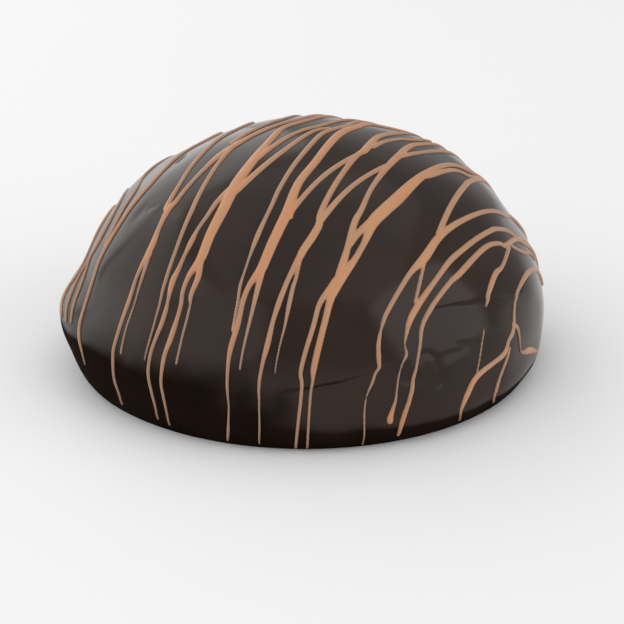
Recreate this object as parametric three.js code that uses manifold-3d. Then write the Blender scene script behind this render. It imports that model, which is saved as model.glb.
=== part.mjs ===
import * as THREE from "three";
import Module from "manifold-3d";

// A round dome cake in dark chocolate glaze, with caramel drizzle swung across it from the front
// left to the back right. Millimetres, +Z up. The origin is the centre of the flat foot, and the
// front of the cake faces -Y.
const wasm = await Module();
wasm.setup();

// ---- Driving dimensions of the dome ----
const HEIGHT = 92.5; // top of the dome above the foot
const BELLY_RADIUS = 91; // the widest part of the side
const BELLY_HEIGHT = 21; // how high the widest part is
const FOOT_RADIUS = 85.4; // the flat round that the cake rests on
const ROUND_OUT = 1.95; // 2 is a true ellipse, less is slimmer below the top
const ROUND_UP = 2.04; // 2 is a true ellipse, more is flatter on top
const TUCK = 2.6; // how suddenly the side turns in under the belly
const TOP_LEAN = -2.5; // how far the top sits to the left of the foot

// Where the glaze swells out or sinks in: azimuth of the middle in degrees, distance from the top
// along the glaze, half spread in degrees, half spread along the glaze, and how far it swells.
const SWELLS = [
  { azimuth: 180, along: 127, spreadTurn: 32, spreadAlong: 12, out: 7.4 }, // bulge on the left
  { azimuth: 184, along: 148, spreadTurn: 32, spreadAlong: 11, out: 4.8 }, // foot run out under it
  { azimuth: 298, along: 143, spreadTurn: 38, spreadAlong: 7.5, out: 2.4 }, // full hem, front right
  { azimuth: 180, along: 104, spreadTurn: 25, spreadAlong: 10, out: -0.6 },
  { azimuth: 176, along: 85, spreadTurn: 25, spreadAlong: 12, out: -0.9 },
  { azimuth: 150, along: 55, spreadTurn: 30, spreadAlong: 18, out: -1.3 },
  { azimuth: 2, along: 93, spreadTurn: 30, spreadAlong: 10, out: -1.2 },
  { azimuth: 24, along: 58, spreadTurn: 18, spreadAlong: 16, out: 0.9 },
];

// ---- Driving dimensions of the drizzle ----
const LIFT_MIN = 0.5; // height of the thinnest thread above the glaze
const LIFT_PER_WIDTH = 0.2; // a wider strand also stands taller
const SUNK = 1.2; // how deep a strand's root reaches into the glaze
const CROWN = 0.28; // half the flat crown of a strand, as a share of its width
const CHORD_ERROR = 0.45; // how far a straight run of a strand may miss its curve
const SAMPLE_STEP = 1.5; // spacing of the trial points along a strand
const FOOT_CLEARANCE = 0.6; // strands end at least this far above the foot, along the glaze

// The far side: a strand that runs over the top keeps its heading, turns downhill and ends.
const BACK_STEP = 12; // spacing of the points on the far side
const BACK_TURN_STEPS = 5; // steps it takes to turn downhill
const BACK_REACH = 124; // mean distance from the top at which a strand ends
const BACK_REACH_SWING = 26; // and how much that differs between strands
const BACK_SWAY = 1.2; // sideways wander
const BACK_WIDTH = 2.4; // mean width, with a swing of a quarter either way

// ---- Mesh density ----
const RINGS = 14;
const CROWDING = 1.25; // above 1 the rings lie closer towards the foot
const SPOKES = 40;
const OUTLINE_STEPS = 600;

// The strands of drizzle, as [u, v, width] on the glaze rolled out flat: u to the right and v to
// the back, both measured from the top of the dome along the glaze, and the strand's width.
const STRANDS = {
  leftOuter: [
    [-42, 15, 2.2], [-53, 3, 2.4], [-62, -10, 2.6], [-74, -18.5, 2.8], [-84, -26, 2.6],
    [-91, -31, 2.5], [-95.5, -34.5, 2.5], [-103.5, -38, 2.4], [-107, -40.5, 2.4], [-111, -44, 2.3],
    [-114, -48, 2.3], [-116.5, -52, 1.8], [-119, -54, 1.3], [-123, -55, 1.1],
  ],
  leftOuterJoin: [[-60, 24, 1.8], [-67, 10, 2], [-70, -3, 2], [-78, -13, 2], [-87, -26, 2]],
  leftRim: [
    [-78, 12, 2], [-81, 2, 2], [-86, -7, 2], [-92, -13, 2.2], [-97, -14, 2.2], [-103, -12.5, 2.2],
    [-110, -12, 2], [-117, -21, 2], [-120, -30, 1.4],
  ],
  leftRimInner: [[-99, -14, 1.6], [-105, -21, 2], [-112, -27, 2], [-117, -36, 1.4]],
  leftBulge: [[-101, 3, 2], [-111, -2, 2.4], [-118, -2, 2.6], [-122, -9, 2.4], [-123, -20, 1.6]],
  leftShoulder: [
    [-25, 17, 2], [-31, 8, 2.2], [-37.5, -4, 2.4], [-43.5, -15, 2.4], [-48, -25, 2.2],
    [-54, -35.5, 3],
  ],
  leftFork: [
    [-2, 16, 2], [-8.5, 9, 2.2], [-13.5, 4, 2.4], [-19, -1, 2.6], [-25.5, -7.5, 3.2],
    [-31.5, -13, 3.2], [-38, -21, 2.4], [-44.5, -29, 2.3], [-49.3, -34.5, 2.6], [-53, -37, 3.4],
    [-57.5, -43.5, 2.6], [-62.5, -51, 3.6], [-71, -58, 2.2], [-78.5, -65.3, 2.6], [-88, -70.8, 2.3],
    [-95.5, -74.3, 2.2], [-98, -76.3, 2.1], [-102.7, -79.3, 1.9], [-106.3, -82.1, 1.8],
    [-109.2, -85.4, 1.6], [-114.7, -88, 1.3],
  ],
  leftForkTop: [[-8, 20, 2], [-14.5, 11, 2.2], [-21, 3.5, 2.4], [-26.5, -4.5, 2.4]],
  leftForkTwin: [
    [-63, -53, 2.2], [-68.4, -60, 1.9], [-72, -64.3, 1.3], [-75, -67.8, 1.1], [-79.3, -71, 1.2],
    [-84, -73.8, 1.2], [-92, -79, 1.4],
  ],
  leftThin: [
    [-27, -10, 2.6], [-32, -19.5, 2.3], [-37.5, -32, 2.3], [-42.4, -42.7, 2.4], [-45.5, -48.5, 2.2],
    [-51, -58.3, 1.9], [-57, -67.3, 2], [-60.4, -72, 1.8], [-63, -76, 1.5], [-67.5, -81, 1.3],
    [-72, -84.7, 1.3], [-80, -90, 1],
  ],
  leftCrossing: [
    [-26.5, -38, 2.6], [-32.6, -44.3, 2.5], [-36.7, -49.4, 2.1], [-41, -54, 1.9],
    [-44.6, -58.7, 2.7], [-48, -63, 2], [-51.4, -67.2, 2.4], [-55.2, -71, 3.1], [-58.8, -76.8, 1.9],
    [-61, -80, 2.4], [-64.5, -83.4, 2.5], [-69.2, -86.4, 2.1], [-74.2, -89.3, 2], [-78.2, -92.3, 2],
    [-81, -94.8, 2], [-83, -97.5, 1.9], [-84.9, -101.5, 1.8], [-87.9, -106.5, 1.6],
    [-92.8, -110.7, 1.3],
  ],
  leftBroad: [
    [7, 24, 2.4], [1, 13, 2.6], [-6.5, 3.5, 2.8], [-9.8, -4, 3.2], [-13, -12, 3.4], [-18, -23, 4.4],
    [-24.5, -36, 5], [-30.2, -48.6, 4.9], [-36.6, -59, 4.5], [-41.5, -67.4, 4.3],
    [-47.3, -71.8, 2.7], [-51.3, -76.6, 2.3], [-53.3, -81, 2.3], [-56.2, -84.9, 2.3],
    [-59.7, -88.4, 2.8], [-62.9, -91, 2.8], [-66.6, -93.3, 2.4], [-69.7, -95.6, 2.5],
    [-74, -99.4, 2], [-77, -102.6, 1.9], [-79, -107, 1.8], [-82, -112, 1.6], [-87, -116.8, 1.3],
  ],
  leftBroadTwin: [
    [-41, -66.5, 3], [-43.2, -73.2, 3], [-45, -76, 2.7], [-47.2, -78.5, 2.5], [-48.5, -80.5, 2.2],
    [-49.2, -82.8, 1.3], [-50.5, -85, 1.4], [-53.2, -88.8, 1.4], [-59.8, -96.2, 1.3],
    [-63.8, -100, 1.3],
  ],
  leftBroadTop: [
    [18, 24, 2], [8, 6, 2.2], [1, -1, 2.2], [-5, -7.5, 2.4], [-10, -14, 2.6], [-17, -23, 3],
  ],
  midCrossing: [[11, 2, 2], [5.5, -2, 2.2], [-6.5, -19, 2.6], [-22, -38, 3], [-27, -43, 3]],
  midThin: [
    [23, 26, 2.2], [18, 10, 2.4], [13, 2, 2.4], [8, -5.5, 2.4], [2.5, -18, 2.4], [-3, -30, 2.2],
    [-9, -44, 2.1], [-11.6, -51, 2], [-14.3, -57, 1.9], [-18.2, -65, 2.3], [-21.8, -72.7, 1.4],
    [-24.5, -78.5, 1.3], [-26.6, -82.8, 1.6], [-28.5, -88.5, 1.6], [-30.6, -93.4, 1.6],
    [-32.5, -98, 2],
  ],
  midBroad: [
    [34, 28, 2.6], [27, 24, 3], [21.5, 10, 3.4], [16, -1, 3.6], [5.5, -27, 3.4], [-1.5, -41, 3.6],
    [-6, -55, 4.3], [-9.9, -63.6, 4.3], [-12.7, -69, 4.3], [-15.2, -74, 4.2], [-18, -78.8, 4],
    [-22.6, -83.2, 2.6], [-25.9, -88, 2.5], [-27.9, -92.3, 2.4], [-30.3, -97, 2.6],
    [-34.8, -103.3, 2.7], [-37.3, -107.6, 2.2], [-39.5, -112, 1.9], [-41.6, -116.5, 1.8],
    [-43.2, -121, 1.4], [-44, -124, 1.3], [-46.2, -128.6, 1.5], [-49, -133.2, 2],
    [-53, -137.6, 1.5],
  ],
  midBroadTwin: [[-17, -78, 2.8], [-19, -83.5, 2.6], [-24, -95, 1.8], [-33, -112, 1.2]],
  midFork: [
    [44, 27, 2], [37, 14, 2.4], [30, 2, 2.8], [26, -10, 3.2], [23.7, -16.5, 3.2], [19.5, -24, 2.5],
    [7.2, -54, 2.6], [5.7, -61.4, 3.1], [2.7, -67.2, 3.3], [-0.6, -72, 3.2], [-2.4, -75.2, 3],
    [-6.9, -82.6, 2.3], [-9.8, -87.9, 2.4], [-12.2, -92.5, 2.5], [-15, -98, 2.2],
    [-18.3, -105.4, 2.7], [-22, -112, 2], [-25.6, -119.3, 1.8], [-28.1, -128.3, 1.3],
    [-30.3, -136.2, 1.5], [-33.6, -143.5, 1.3],
  ],
  midForkLeft: [[24, -17, 2.4], [10, -34, 2.4], [-3, -53, 2.4], [-5.3, -58, 2.6]],
  midForkTwin: [
    [-2.4, -76, 2.2], [-4.2, -82.8, 1.8], [-5.6, -86.2, 2], [-7.8, -92.8, 2.1], [-10.1, -99.7, 1.4],
    [-12.7, -105.6, 1.1], [-15.5, -112, 1], [-17, -116, 0.9],
  ],
  midForkTop: [[52, 25, 1.8], [45, 14, 2], [38, 5.7, 2], [31.7, -3.5, 2.2], [27, -12, 2.4]],
  midJoin: [
    [56, 26, 2.2], [50, 15, 2.2], [43.5, 4, 2.6], [39.6, -6, 3], [37.5, -12.5, 3.2],
    [26.2, -40, 2.2], [22, -52.5, 2.4], [19.1, -59.5, 2.8], [16.1, -71.2, 2.8], [14.4, -76.8, 3.2],
    [12.5, -82, 3],
  ],
  midJoinLeft: [[34, -22, 2.4], [19.5, -40.2, 2.3], [5.5, -61, 2.8]],
  midJoinTop: [[62, 24, 2.2], [53, 9, 2.2], [46.3, -2, 2.2], [41, -9.4, 2.4], [37.5, -14, 2.4]],
  rightBroad: [
    [78, 18, 2.4], [70, 9, 2.6], [60.5, 2, 2.6], [48.5, -19, 3.2], [37, -41, 4.8],
    [31.1, -50.4, 4.9], [26, -58.2, 4.6], [23.4, -65.8, 3], [21.3, -70.6, 2.6], [18, -76.5, 3],
    [11, -86, 4.8], [9, -91, 3.3], [6.4, -99.3, 2.9], [1, -115, 3], [0, -120, 1.8], [-2, -128, 1.7],
    [-5, -150, 1.7],
  ],
  rightBroadTwin: [
    [9, -87, 2.8], [4.5, -93, 2.4], [1.5, -101, 2.3], [-5, -116, 2.2], [-5.5, -123, 2],
    [-12, -149, 2],
  ],
  rightBroadTop: [[76, 13, 2.2], [68.5, 1, 2.4], [61, -4, 2.4], [50, -20, 2.8], [45, -25, 3]],
  rightLink: [[78, 17, 2.4], [68, -5, 2.6], [64.5, -15, 2.5], [58, -35, 2.5], [52.5, -54, 2.6]],
  rightFork: [
    [94, 7, 2], [87, -8, 2.1], [80, -16, 2.2], [67, -34, 2.4], [54, -53, 3], [47, -67, 3.6],
    [41.5, -75.2, 2.4], [37.4, -82.9, 2.2], [32.2, -93.2, 2.1], [31, -96.6, 1.9],
    [30.2, -99.6, 1.4], [29.8, -102.1, 1.9], [29.6, -105.7, 2.3], [30.3, -110.4, 2.4],
    [30.7, -113.2, 1.8], [29.4, -115.5, 1.6], [28.3, -119.2, 1.6], [26, -125, 0.9], [26, -132, 1.4],
    [29, -146, 1.2],
  ],
  rightForkTwin: [[47, -68, 1.8], [44.2, -86, 1.8]],
  rightDrop: [
    [106, 0, 1.8], [93.6, -16.5, 2.2], [90.2, -18.9, 2.2], [86.2, -22.3, 2.3], [82, -27, 2.3],
    [78.3, -31.5, 2.4], [75.5, -36, 2.4], [64, -54.2, 2.4], [58, -63.5, 2.5], [52.5, -74, 2.3],
    [43.5, -91, 2.9], [41.5, -99.5, 1.7], [41.6, -102.9, 1.1], [42.8, -105.6, 1.7],
    [41.8, -108.6, 1.2], [41, -112, 1.1], [40.8, -119.2, 1.4], [40.9, -124.6, 1.9],
    [40.4, -129.3, 3], [40.3, -131.5, 4],
  ],
  rightLong: [
    [110, 4, 1.8], [99, -12, 2.2], [93, -19, 2.4], [85.5, -34, 2.4], [81.5, -37, 2.2],
    [75, -45, 2.4], [63.5, -65.5, 2.6], [58.5, -73, 2.3], [49.2, -91, 2.2], [48.6, -101.5, 1.8],
    [48.4, -108.3, 1.6], [48.3, -113.1, 2], [48.6, -117.5, 2.4], [48.4, -122.5, 2.6],
    [47.7, -128.2, 3], [47.4, -132.7, 2.8], [48.2, -137, 2],
  ],
  rightLongTop: [[109, -6, 2], [103, -13, 2], [99.5, -20, 2], [94.5, -26, 2], [89, -30, 2]],
  rightShort: [
    [87.5, -33, 2.2], [84.5, -47, 1.9], [81.2, -54, 2.6], [79, -63.3, 2.6], [77.8, -72, 1.2],
  ],
  rightEdge: [
    [114, -10, 2], [108, -19, 2.2], [99, -37, 2.5], [94.5, -56, 1.6], [97.5, -68, 2.3],
    [96, -75, 2], [96, -81, 2.6], [92, -88, 2.4], [84.5, -99, 3], [82.4, -106.6, 3.4],
    [81.5, -111.5, 2.8], [81.9, -115.2, 2], [86.4, -118.2, 1.2],
  ],
  rightHook: [
    [96.5, -67, 2], [100.5, -65, 2.2], [108, -69, 1.1], [112, -67, 1.8], [118, -60, 3.2],
    [130, -46, 1.4],
  ],
  rightThread: [[79.5, -81, 1.1], [83, -95, 1.2], [84.8, -101, 1.4]],
  rightStub: [
    [98.2, -76.4, 1.5], [99.2, -80.7, 2], [99.9, -84.9, 1.9], [100.4, -89.3, 1.9],
    [101.3, -93.4, 2.3], [102.5, -97, 1.9], [105.8, -98.1, 1.3],
  ],
  midBridge: [[25.5, -57.5, 3], [20.2, -64.3, 2.8], [17.2, -69, 2.8]],
};

// The strands that run on over the top and down the far side, in order from left to right.
const OVER_THE_TOP = [
  "leftBulge", "leftRim", "leftOuterJoin", "leftOuter", "leftShoulder", "leftForkTop", "leftFork",
  "leftBroad", "leftBroadTop", "midThin", "midBroad", "midFork", "midJoin", "midJoinTop",
  "rightBroad", "rightLink", "rightFork", "rightDrop", "rightLong", "rightEdge",
];

const clamp = THREE.MathUtils.clamp;
const radians = THREE.MathUtils.degToRad;

// The dome's outline from the top to the foot: distance along it, radius and height.
function domeOutline() {
  const rows = [];
  const add = (radius, height) => {
    const last = rows.at(-1);
    const step = last ? Math.hypot(radius - last.radius, height - last.height) : 0;
    rows.push({ along: last ? last.along + step : 0, radius, height });
  };
  for (let i = 0; i <= OUTLINE_STEPS; i++) {
    const t = ((Math.PI / 2) * i) / OUTLINE_STEPS;
    const rise = Math.max(Math.cos(t), 0) ** (2 / ROUND_UP);
    add(BELLY_RADIUS * Math.sin(t) ** (2 / ROUND_OUT), BELLY_HEIGHT + (HEIGHT - BELLY_HEIGHT) * rise);
  }
  for (let i = 1; i <= OUTLINE_STEPS / 4; i++) {
    const drop = i / (OUTLINE_STEPS / 4);
    add(BELLY_RADIUS - (BELLY_RADIUS - FOOT_RADIUS) * drop ** TUCK, BELLY_HEIGHT * (1 - drop));
  }
  return rows;
}

const OUTLINE = domeOutline();
const LENGTH = OUTLINE.at(-1).along;

// Radius and height of the outline at a distance from the top.
function outlineAt(along) {
  let low = 0;
  let high = OUTLINE.length - 1;
  while (high - low > 1) {
    const middle = (low + high) >> 1;
    if (OUTLINE[middle].along > along) high = middle;
    else low = middle;
  }
  const a = OUTLINE[low];
  const b = OUTLINE[high];
  const share = clamp((along - a.along) / (b.along - a.along), 0, 1);
  return {
    radius: THREE.MathUtils.lerp(a.radius, b.radius, share),
    height: THREE.MathUtils.lerp(a.height, b.height, share),
  };
}

// How far the glaze stands out from the plain dome at a distance from the top and an azimuth.
function swellAt(along, azimuth) {
  return SWELLS.reduce((sum, { azimuth: middle, along: centre, spreadTurn, spreadAlong, out }) => {
    const turn = azimuth - radians(middle);
    const wrapped = Math.atan2(Math.sin(turn), Math.cos(turn));
    const far = ((along - centre) / spreadAlong) ** 2 + (wrapped / radians(spreadTurn)) ** 2;
    return sum + out * Math.exp(-far);
  }, 0);
}

// The point of the glaze at (u, v) of the flat map.
function glazePoint(u, v) {
  const along = Math.hypot(u, v);
  const azimuth = Math.atan2(v, u);
  const { radius, height } = outlineAt(along);
  const point = new THREE.Vector3(radius * Math.cos(azimuth), radius * Math.sin(azimuth), height);
  const outward = new THREE.Vector3(point.x, point.y, Math.max(height - BELLY_HEIGHT, 0));
  point.addScaledVector(outward.normalize(), swellAt(along, azimuth));
  point.x += TOP_LEAN * clamp((point.z - BELLY_HEIGHT) / (HEIGHT - BELLY_HEIGHT), 0, 1);
  return point;
}

// The direction straight out of the glaze at (u, v).
function glazeNormal(u, v) {
  const reach = 0.5;
  const alongU = glazePoint(u + reach, v).sub(glazePoint(u - reach, v));
  const alongV = glazePoint(u, v + reach).sub(glazePoint(u, v - reach));
  return alongU.cross(alongV).normalize();
}

// A closed solid from a list of THREE.Vector3 and a list of triangles.
function solidOf(points, triangles) {
  const vertProperties = new Float32Array(points.flatMap((p) => [p.x, p.y, p.z]));
  const triVerts = new Uint32Array(triangles.flat());
  return new wasm.Manifold(new wasm.Mesh({ numProp: 3, vertProperties, triVerts }));
}

// Splits the side b-c-d-a of four points, seen anticlockwise, into two triangles.
const quad = (a, b, c, d) => [[a, b, c], [a, c, d]];

// The dome as rings of points about the top, closed by the flat foot.
function domeSolid() {
  const points = [glazePoint(0, 0)];
  const at = (ring, spoke) => 1 + (ring - 1) * SPOKES + (spoke % SPOKES);
  for (let ring = 1; ring <= RINGS; ring++) {
    const along = LENGTH * (1 - (1 - ring / RINGS) ** CROWDING);
    for (let spoke = 0; spoke < SPOKES; spoke++) {
      const azimuth = (2 * Math.PI * spoke) / SPOKES;
      points.push(glazePoint(along * Math.cos(azimuth), along * Math.sin(azimuth)));
    }
  }
  const footCentre = points.push(new THREE.Vector3(0, 0, 0)) - 1;
  const triangles = [];
  for (let spoke = 0; spoke < SPOKES; spoke++) {
    triangles.push([0, at(1, spoke), at(1, spoke + 1)]);
    for (let ring = 1; ring < RINGS; ring++) {
      const [a, b] = [at(ring, spoke), at(ring + 1, spoke)];
      triangles.push(...quad(a, b, at(ring + 1, spoke + 1), at(ring, spoke + 1)));
    }
    triangles.push([footCentre, at(RINGS, spoke + 1), at(RINGS, spoke)]);
  }
  return solidOf(points, triangles);
}

// The points that take a strand on over the top, from its first point, outermost first.
function farSide(strand, index) {
  const [first, second] = strand;
  const heading = new THREE.Vector2(first[0] - second[0], first[1] - second[1]).normalize();
  const place = new THREE.Vector2(first[0], first[1]);
  const reach = BACK_REACH + BACK_REACH_SWING * Math.sin(2.3 * index);
  const points = [];
  for (let step = 1; place.length() < reach; step++) {
    const downhill = place.clone().normalize();
    const way = heading.clone().lerp(downhill, Math.min(1, step / BACK_TURN_STEPS)).normalize();
    const sway = BACK_SWAY * Math.sin(1.7 * step + index);
    place.add(new THREE.Vector2(-way.y, way.x).multiplyScalar(sway)).addScaledVector(way, BACK_STEP);
    const width = BACK_WIDTH * (1 + 0.25 * Math.sin(1.1 * step + 2 * index));
    points.unshift([place.x, place.y, width]);
  }
  return points;
}

// A strand's route as points with x = u, y = v and z = width, evenly spaced along a smooth curve.
function routeOf(strand) {
  const knots = strand.map(([u, v, width]) => new THREE.Vector3(u, v, width));
  const curve = new THREE.CatmullRomCurve3(knots, false, "catmullrom", 0.5);
  const samples = curve.getSpacedPoints(Math.ceil(curve.getLength() / SAMPLE_STEP));
  return samples.map((sample) => {
    const most = LENGTH - FOOT_CLEARANCE;
    const along = Math.hypot(sample.x, sample.y);
    const shrink = Math.min(1, most / along);
    return new THREE.Vector3(sample.x * shrink, sample.y * shrink, sample.z);
  });
}

// The fewest stations of a route whose straight runs stay within CHORD_ERROR of it.
function stationsOf(route) {
  const places = route.map((p) => glazePoint(p.x, p.y));
  const miss = (i, a, b) => {
    const line = new THREE.Line3(places[a], places[b]);
    const share = line.closestPointToPointParameter(places[i], true);
    const width = THREE.MathUtils.lerp(route[a].z, route[b].z, share);
    const aside = line.at(share, new THREE.Vector3()).distanceTo(places[i]);
    return Math.max(aside, Math.abs(width - route[i].z) / 2);
  };
  const keep = (a, b) => {
    let worst = -1;
    let most = CHORD_ERROR;
    for (let i = a + 1; i < b; i++) if (miss(i, a, b) > most) [worst, most] = [i, miss(i, a, b)];
    return worst < 0 ? [] : [...keep(a, worst), worst, ...keep(worst, b)];
  };
  return [0, ...keep(0, route.length - 1), route.length - 1];
}

// One strand: a bar with a flat crown and sloping sides that follows the glaze.
function strandSolid(strand) {
  const route = routeOf(strand);
  const points = [];
  for (const i of stationsOf(route)) {
    const here = route[i];
    const before = route[Math.max(i - 1, 0)];
    const after = route[Math.min(i + 1, route.length - 1)];
    const way = new THREE.Vector2(after.x - before.x, after.y - before.y).normalize();
    const normal = glazeNormal(here.x, here.y);
    const lift = LIFT_MIN + LIFT_PER_WIDTH * here.z;
    const root = here.z / 2 + (SUNK * (1 / 2 - CROWN) * here.z) / lift;
    const corner = (aside, height) =>
      glazePoint(here.x - way.y * aside, here.y + way.x * aside).addScaledVector(normal, height);
    points.push(corner(root, -SUNK), corner(-root, -SUNK));
    points.push(corner(-CROWN * here.z, lift), corner(CROWN * here.z, lift));
  }
  const corners = 4;
  const last = points.length - corners;
  const triangles = [...quad(0, 1, 2, 3), ...quad(last, last + 3, last + 2, last + 1)];
  for (let start = 0; start < last; start += corners)
    for (let side = 0; side < corners; side++) {
      const next = (side + 1) % corners;
      const [a, b] = [start + side, start + next];
      triangles.push(...quad(a, a + corners, b + corners, b));
    }
  return solidOf(points, triangles);
}

// Every strand, with its run down the far side where it has one.
function drizzleSolids() {
  return Object.entries(STRANDS).map(([name, strand]) => {
    const index = OVER_THE_TOP.indexOf(name);
    return strandSolid(index < 0 ? strand : [...farSide(strand, index), ...strand]);
  });
}

function meshOf(name, solid, material) {
  const mesh = solid.getMesh();
  const geometry = new THREE.BufferGeometry();
  geometry.setAttribute("position", new THREE.BufferAttribute(mesh.vertProperties, mesh.numProp));
  geometry.setIndex(new THREE.BufferAttribute(mesh.triVerts, 1));
  geometry.computeVertexNormals();
  const made = new THREE.Mesh(geometry, material);
  made.name = name;
  return made;
}

const chocolate = new THREE.MeshStandardMaterial({ color: 0x3c2f2c, roughness: 0.3 });
const cake = wasm.Manifold.union([domeSolid(), ...drizzleSolids()]).trimByPlane([0, 0, 1], 0);

const group = new THREE.Group();
group.add(meshOf("cake", cake, chocolate));
export default group;
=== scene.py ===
"""Chocolate dome cake with a thick caramel drizzle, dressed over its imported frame.

Lengths on the cake are millimetres and turn into metres when a mesh is made.
The glaze map is the skin of the dome laid flat round its apex: u runs to the
right, v to the back, and a point lies as far from the middle of the map as the
arc from the apex over the glaze is long.
"""

from __future__ import annotations

import logging
import math
from dataclasses import dataclass
from enum import Enum
from typing import Union

import bpy
import numpy as np
from mathutils import Matrix, Vector

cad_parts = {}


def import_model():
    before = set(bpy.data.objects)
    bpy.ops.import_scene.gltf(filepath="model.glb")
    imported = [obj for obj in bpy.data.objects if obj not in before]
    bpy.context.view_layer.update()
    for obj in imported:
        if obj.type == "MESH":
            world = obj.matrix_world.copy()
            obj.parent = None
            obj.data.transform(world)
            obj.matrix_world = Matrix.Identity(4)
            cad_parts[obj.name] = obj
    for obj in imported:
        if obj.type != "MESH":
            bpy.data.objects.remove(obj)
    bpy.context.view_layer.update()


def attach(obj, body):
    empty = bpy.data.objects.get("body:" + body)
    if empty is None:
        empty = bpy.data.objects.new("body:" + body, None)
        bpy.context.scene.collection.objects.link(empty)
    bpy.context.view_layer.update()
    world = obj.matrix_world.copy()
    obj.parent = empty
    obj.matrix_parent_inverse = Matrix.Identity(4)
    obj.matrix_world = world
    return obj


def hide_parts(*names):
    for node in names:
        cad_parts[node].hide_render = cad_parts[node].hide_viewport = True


Array = np.ndarray
Colour = tuple[float, float, float, float]
Triple = tuple[float, float, float]
Socket = bpy.types.NodeSocket
Feed = Union[Socket, float, Colour]

LOG = logging.getLogger("dome_cake")
BODY = "root"
CAKE_NODE = "cake"
METRES = 0.001
TINY = 1e-12
WHITE: Colour = (1.0, 1.0, 1.0, 1.0)
UNIT = (0.0, 1.0)

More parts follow.
